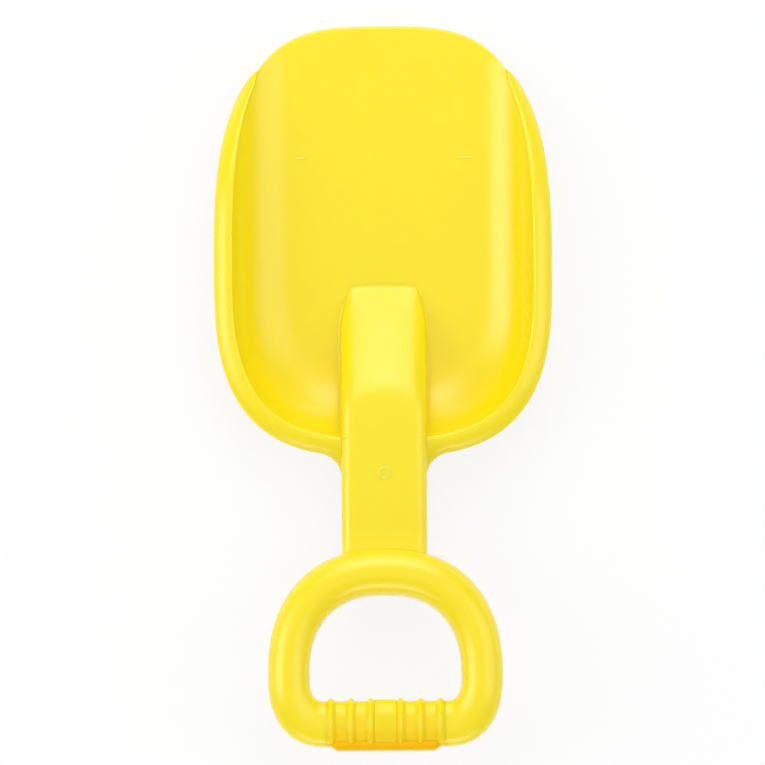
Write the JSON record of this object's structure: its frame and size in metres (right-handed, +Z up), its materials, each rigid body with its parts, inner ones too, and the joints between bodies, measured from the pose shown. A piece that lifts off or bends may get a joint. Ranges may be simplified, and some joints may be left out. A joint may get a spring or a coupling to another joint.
{
  "type": "sand shovel",
  "caption": "Toy sand shovel of glossy yellow plastic: a deep rounded scoop with a rolled rim, a hollow-backed shaft that rises out of the scoop and a D-shaped handle with a ribbed grip.",
  "frame": {"origin": "on the ground, below the middle of the whole length and width", "axes": "+Y towards the digging edge, +Z up out of the open scoop, +X to the right seen from above with the handle towards the viewer"},
  "size_m": [0.126, 0.27, 0.0399],
  "materials": {
    "yellow_plastic": "smooth moulded polypropylene with a soft gloss",
    "grip_plastic": "the same plastic, a deeper yellow on the thick outside of the grip"
  },
  "bodies": {
    "root": {"scoop_pan": "yellow_plastic", "rim_lip": "yellow_plastic", "level_marks": "yellow_plastic", "shaft": "yellow_plastic", "shaft_ribs": "yellow_plastic", "gate_mark": "yellow_plastic", "handle_bow": "yellow_plastic", "bow_ribs": "yellow_plastic", "grip_bar": "yellow_plastic", "grip_webs": "yellow_plastic", "finger_ribs": "yellow_plastic", "grip_panel": "yellow_plastic", "grip_pad": "grip_plastic"}
  },
  "joints": []
}
